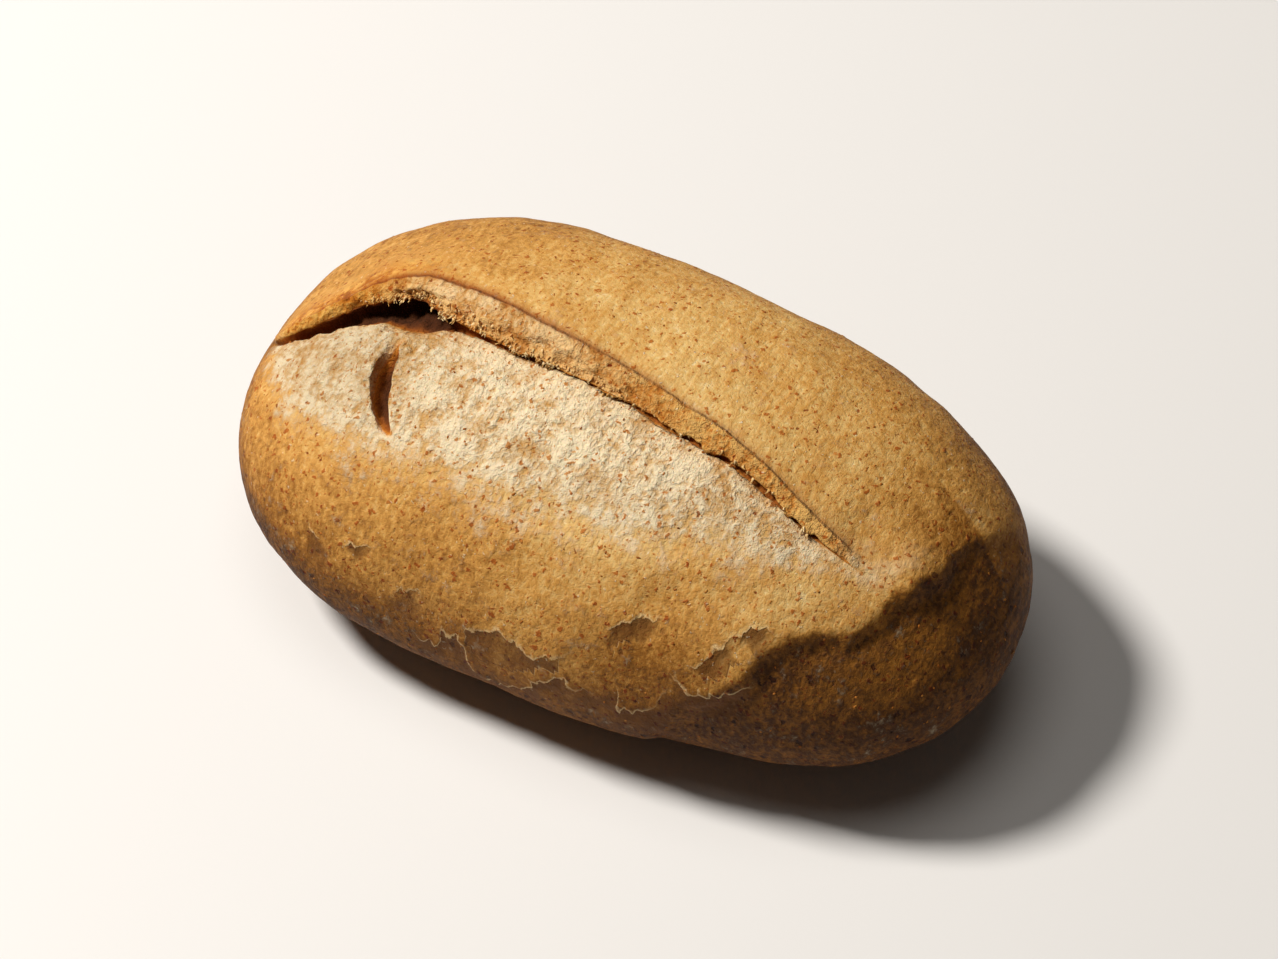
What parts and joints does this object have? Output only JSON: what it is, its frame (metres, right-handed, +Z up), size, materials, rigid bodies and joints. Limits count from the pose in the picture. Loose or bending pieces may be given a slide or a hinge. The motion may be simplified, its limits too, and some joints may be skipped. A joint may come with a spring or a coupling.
{
  "type": "bread roll",
  "caption": "Oval wholemeal bread roll with one lengthwise slash: a raised ear of crust over a torn, pale band of crumb.",
  "frame": {"origin": "middle of the roll's outline seen from above, on the surface that it rests on", "axes": "+X along the roll, from the broader end to the narrower one; +Y from the crumb side to the ear side; +Z up, away from the resting face"},
  "size_m": [0.125, 0.0722, 0.0474],
  "materials": {
    "crust": "matte golden brown baked crust with bran flecks, pale torn crumb along the slash"
  },
  "bodies": {
    "root": {"bread_roll": "crust"}
  },
  "joints": []
}
